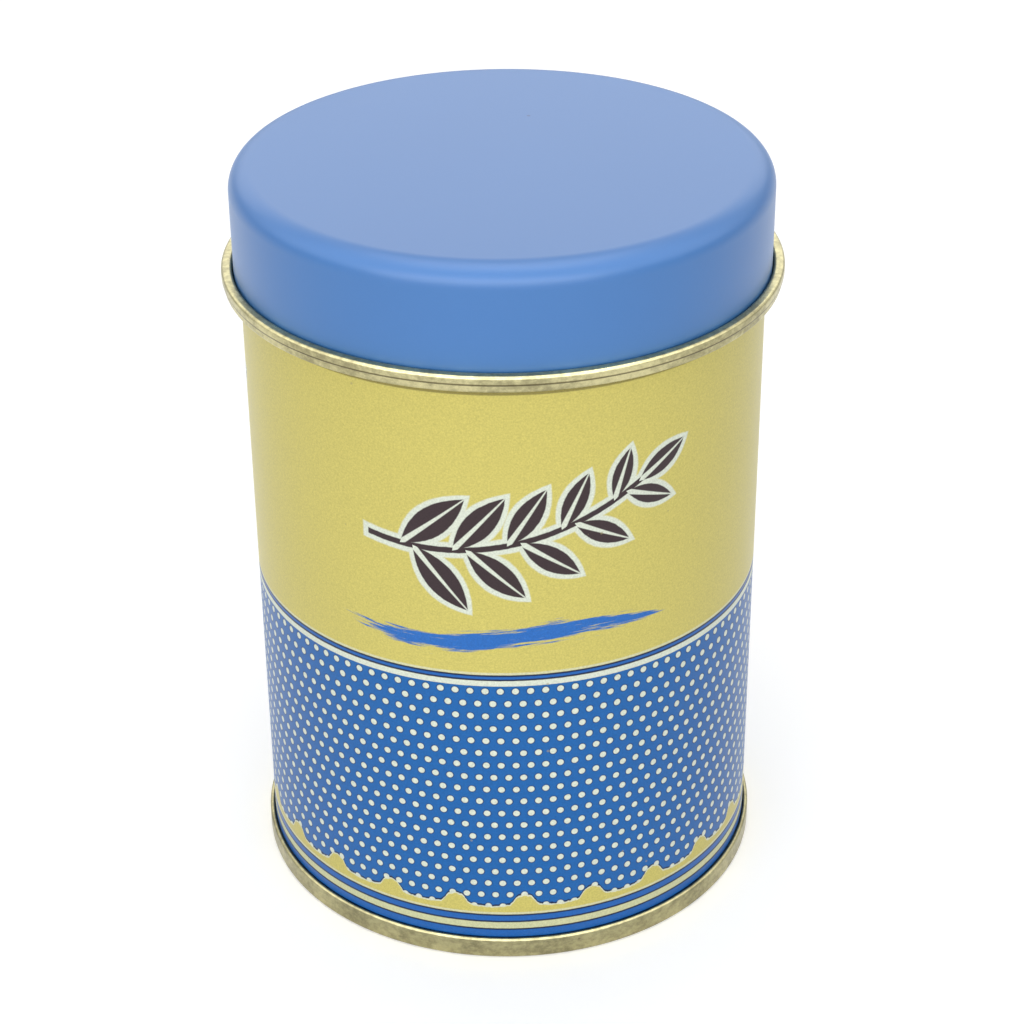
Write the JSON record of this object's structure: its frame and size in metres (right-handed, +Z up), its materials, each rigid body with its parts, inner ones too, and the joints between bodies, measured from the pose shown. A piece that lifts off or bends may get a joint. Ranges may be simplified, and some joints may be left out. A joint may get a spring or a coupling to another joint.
{
  "type": "spice jar",
  "caption": "Round tinplate spice jar with double-seamed ends, a curled neck and a slip lid that lifts straight off.",
  "frame": {"origin": "middle of the base, on the plane of the foot seam's crown, which rests on the table", "axes": "+Z up along the jar's axis, -Y towards the viewer, +X to the viewer's right, +Y towards the side seam"},
  "size_m": [0.0694, 0.0694, 0.0968],
  "materials": {
    "printed_tin": "satin varnish over print",
    "bare_tin": "bright rolled tinplate under a pale gold varnish",
    "lid_enamel": "satin enamel",
    "seam_compound": "matte"
  },
  "bodies": {
    "jar": {"body_shell": "printed_tin", "bottom_end": "bare_tin", "neck_ring": "bare_tin", "foot_compound": "seam_compound", "neck_compound": "seam_compound"},
    "lid": {"lid": "lid_enamel"}
  },
  "joints": [
    {"name": "lid_lift", "type": "slide", "parent": "jar", "child": "lid", "axis": [0, 0, 1], "range_m": [0, 0.06]}
  ]
}
